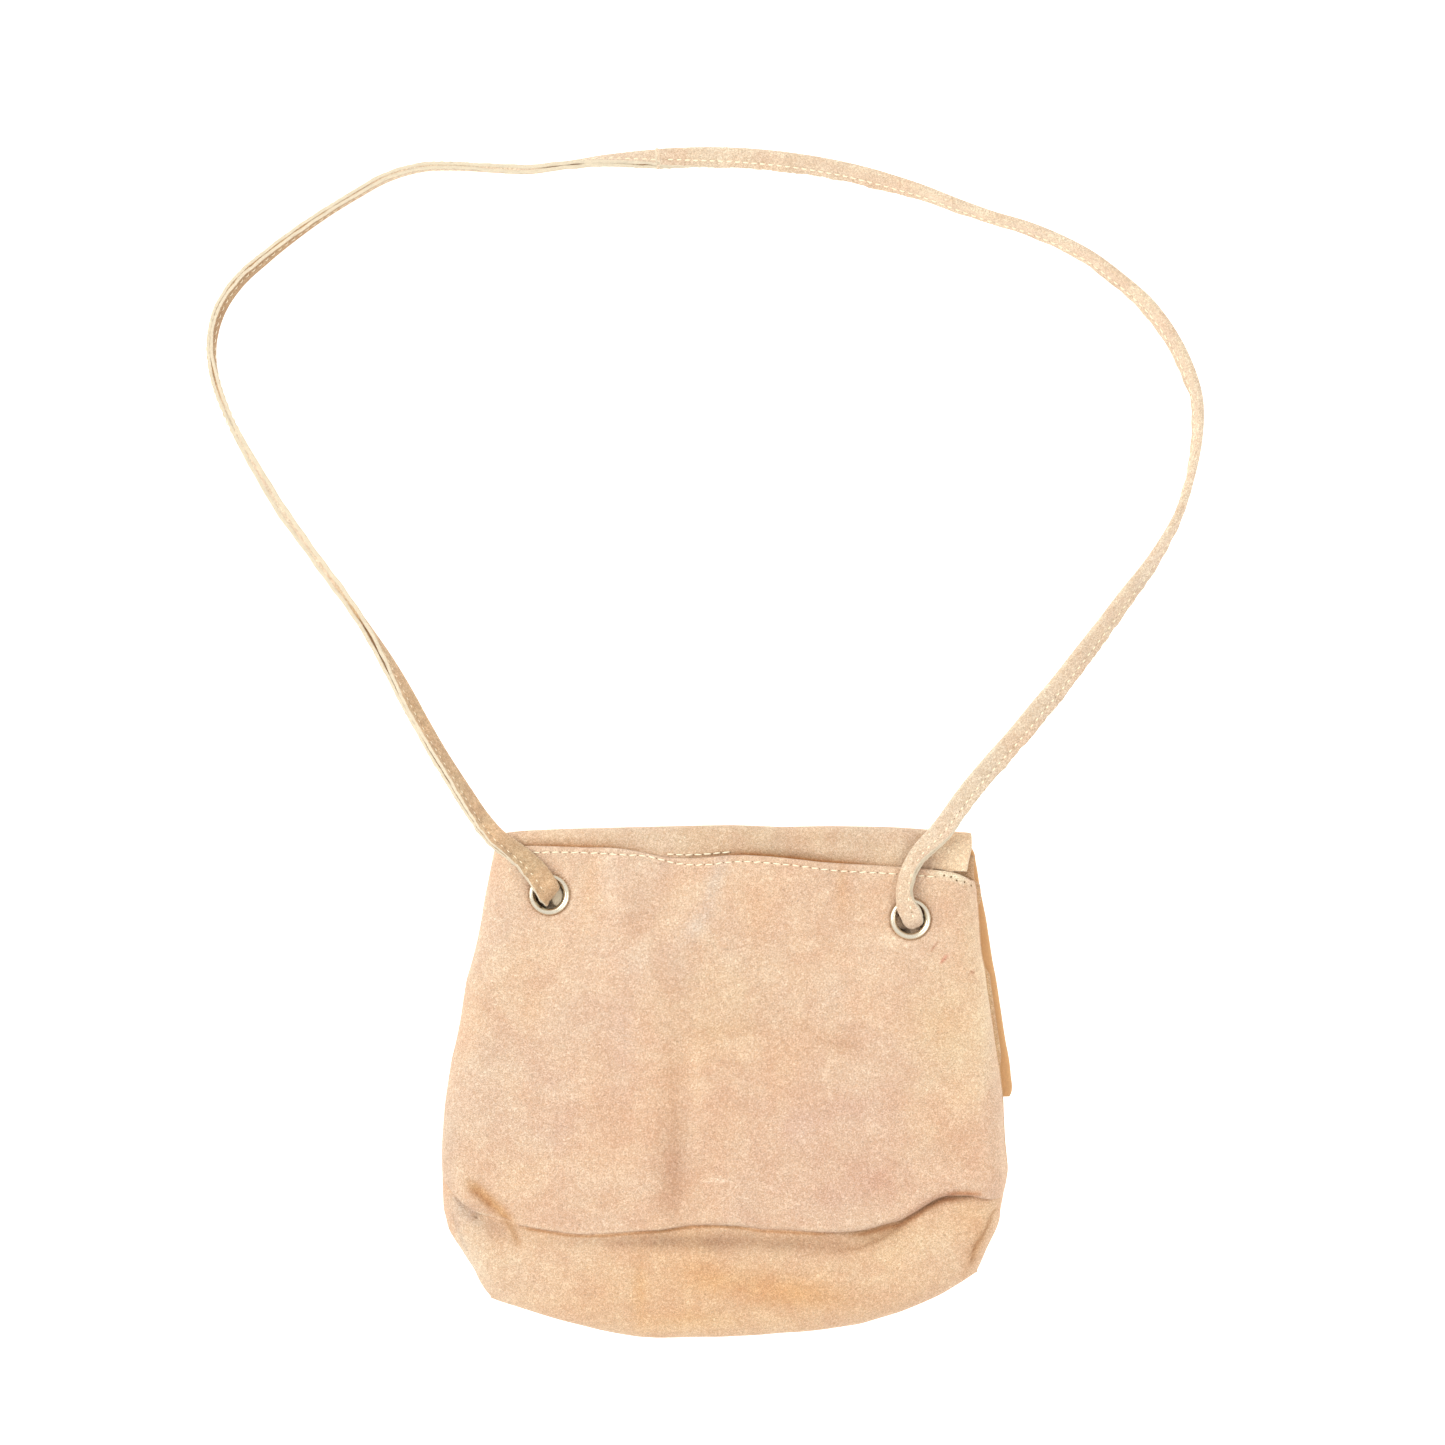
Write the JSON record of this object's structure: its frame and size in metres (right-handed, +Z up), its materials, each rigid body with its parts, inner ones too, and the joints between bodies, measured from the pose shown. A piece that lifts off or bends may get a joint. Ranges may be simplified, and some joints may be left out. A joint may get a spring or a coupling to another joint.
{
  "type": "suede shoulder bag",
  "caption": "Small flat suede shoulder bag with a fold-over flap, a lens-shaped base panel and a sewn strap knotted through metal eyelets, lying on its flap.",
  "frame": {"origin": "on the surface the bag lies on, under the middle of the bag without its strap", "axes": "+X across the bag to the right as seen from its back, +Y from the base to the mouth, +Z up from the flap to the rear panel"},
  "size_m": [0.3976, 0.476, 0.0205],
  "materials": {
    "suede": "napped, matt",
    "strap_suede": "napped, matt, cream raw edges",
    "nickel": "polished nickel",
    "thread": "waxed thread"
  },
  "bodies": {
    "bag": {"rear_panel": "suede", "front_panel": "suede", "base_panel": "suede", "flap_seam_strip": "suede", "left_eyelet": "nickel", "right_eyelet": "nickel", "left_eyelet_washer": "nickel", "right_eyelet_washer": "nickel", "strap_right_length": "strap_suede", "strap_left_length": "strap_suede", "left_strap_knot": "strap_suede", "right_strap_knot": "strap_suede", "rear_hem_thread": "thread", "flap_strip_thread": "thread", "front_hem_thread": "thread", "left_side_seam_thread": "thread", "right_side_seam_thread": "thread", "rear_base_seam_thread": "thread", "front_base_seam_thread": "thread"},
    "flap_fold": {"flap_fold": "suede"},
    "flap": {"flap_front": "suede"}
  },
  "joints": [
    {"name": "flap_upper_fold", "type": "hinge", "parent": "bag", "child": "flap_fold", "pos_m": [0, 0.1016, 0.0122], "axis": [1, 0, 0], "range_deg": [0, 88]},
    {"name": "flap_lower_fold", "type": "hinge", "parent": "flap_fold", "child": "flap", "pos_m": [0, 0.1016, 0.0007], "axis": [1, 0, 0], "range_deg": [0, 88]}
  ],
  "couplings": [
    {"joint": "flap_lower_fold", "follows": "flap_upper_fold", "ratio": 1}
  ]
}
